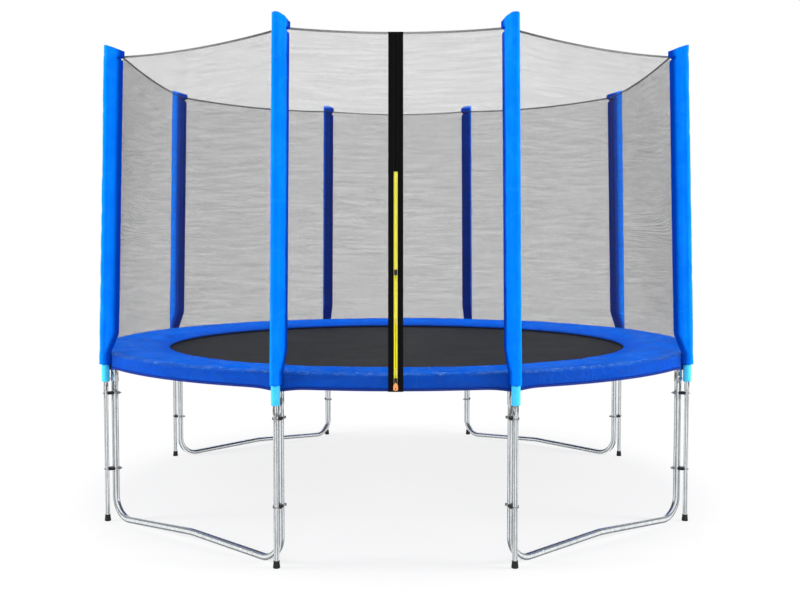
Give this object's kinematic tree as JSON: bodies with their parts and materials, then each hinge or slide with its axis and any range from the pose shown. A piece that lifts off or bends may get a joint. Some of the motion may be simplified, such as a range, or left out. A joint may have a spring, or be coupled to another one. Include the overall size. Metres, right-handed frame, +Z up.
{
  "type": "trampoline",
  "caption": "Round garden trampoline with a padded edge, a safety net on padded poles and a zip door.",
  "frame": {"origin": "centre of the round frame, on the ground", "axes": "+Z up; the zip door faces -Y; +X is to the right of someone facing the door"},
  "size_m": [3.6744, 3.6914, 2.6555],
  "materials": {
    "galvanised_tube": "galvanised, dull silver",
    "zinc_steel": "zinc plated",
    "blue_cover": "smooth coated cloth",
    "blue_pad": "smooth coated cloth over foam",
    "foam": "closed-cell foam",
    "foot_rubber": "black, moulded",
    "black_plastic": "black, moulded",
    "mat_cloth": "black woven cloth",
    "webbing": "black woven band",
    "net": "black fine mesh",
    "yellow_tape": "yellow zip tape",
    "orange_tab": "orange, moulded",
    "red_tab": "dark red, moulded"
  },
  "bodies": {
    "frame": {"ring_segment_1": "galvanised_tube", "ring_segment_2": "galvanised_tube", "ring_segment_3": "galvanised_tube", "ring_segment_4": "galvanised_tube", "ring_segment_5": "galvanised_tube", "ring_segment_6": "galvanised_tube", "ring_segment_7": "galvanised_tube", "ring_segment_8": "galvanised_tube", "leg_base_1": "galvanised_tube", "leg_base_2": "galvanised_tube", "leg_base_3": "galvanised_tube", "leg_base_4": "galvanised_tube", "leg_uprights_1": "galvanised_tube", "leg_uprights_2": "galvanised_tube", "leg_uprights_3": "galvanised_tube", "leg_uprights_4": "galvanised_tube", "net_pole_1": "galvanised_tube", "net_pole_2": "galvanised_tube", "net_pole_3": "galvanised_tube", "net_pole_4": "galvanised_tube", "net_pole_5": "galvanised_tube", "net_pole_6": "galvanised_tube", "net_pole_7": "galvanised_tube", "net_pole_8": "galvanised_tube", "pole_cover_1": "blue_cover", "pole_cover_2": "blue_cover", "pole_cover_3": "blue_cover", "pole_cover_4": "blue_cover", "pole_cover_5": "blue_cover", "pole_cover_6": "blue_cover", "pole_cover_7": "blue_cover", "pole_cover_8": "blue_cover", "net_panel_1": "net", "net_panel_2": "net", "net_panel_3": "net", "net_panel_4": "net", "net_panel_5": "net", "net_panel_6": "net", "net_panel_7": "net", "net_panel_8": "net", "foam_tubes": "foam", "foot_caps": "foot_rubber", "pole_caps": "black_plastic", "u_bolts": "zinc_steel", "clamp_spacers": "black_plastic", "clamp_plates": "zinc_steel", "clamp_nuts": "zinc_steel", "socket_screws": "zinc_steel", "springs": "zinc_steel", "safety_pad": "blue_pad", "net_hems": "webbing", "zip_band": "webbing", "zip_tape": "yellow_tape"},
    "mat": {"jumping_mat": "mat_cloth", "mat_webbing": "webbing", "mat_rings": "zinc_steel"},
    "lower_slider": {"lower_zip_slider": "black_plastic"},
    "lower_pull": {"lower_pull_tab": "orange_tab"},
    "upper_slider": {"upper_zip_slider": "black_plastic"},
    "upper_pull": {"upper_pull_tab": "red_tab"}
  },
  "joints": [
    {"name": "mat_bounce", "type": "slide", "parent": "frame", "child": "mat", "axis": [0, 0, 1], "range_m": [-0.2, 0], "stiffness_N_per_m": 6000, "springref_m": 0.01, "deforming": ["springs"]},
    {"name": "lower_slider_travel", "type": "slide", "parent": "frame", "child": "lower_slider", "axis": [0, 0.11, 0.9939], "range_m": [0, 0.48]},
    {"name": "lower_pull_swing", "type": "hinge", "parent": "lower_slider", "child": "lower_pull", "pos_m": [0, -1.8517, 0.90736], "axis": [-1, 0, 0], "range_deg": [0, 130]},
    {"name": "upper_slider_travel", "type": "slide", "parent": "frame", "child": "upper_slider", "axis": [0, 0.11, 0.9939], "range_m": [0, 0.464]},
    {"name": "upper_pull_swing", "type": "hinge", "parent": "upper_slider", "child": "upper_pull", "pos_m": [0, -1.78031, 1.4156], "axis": [1, 0, 0], "range_deg": [0, 130]}
  ]
}
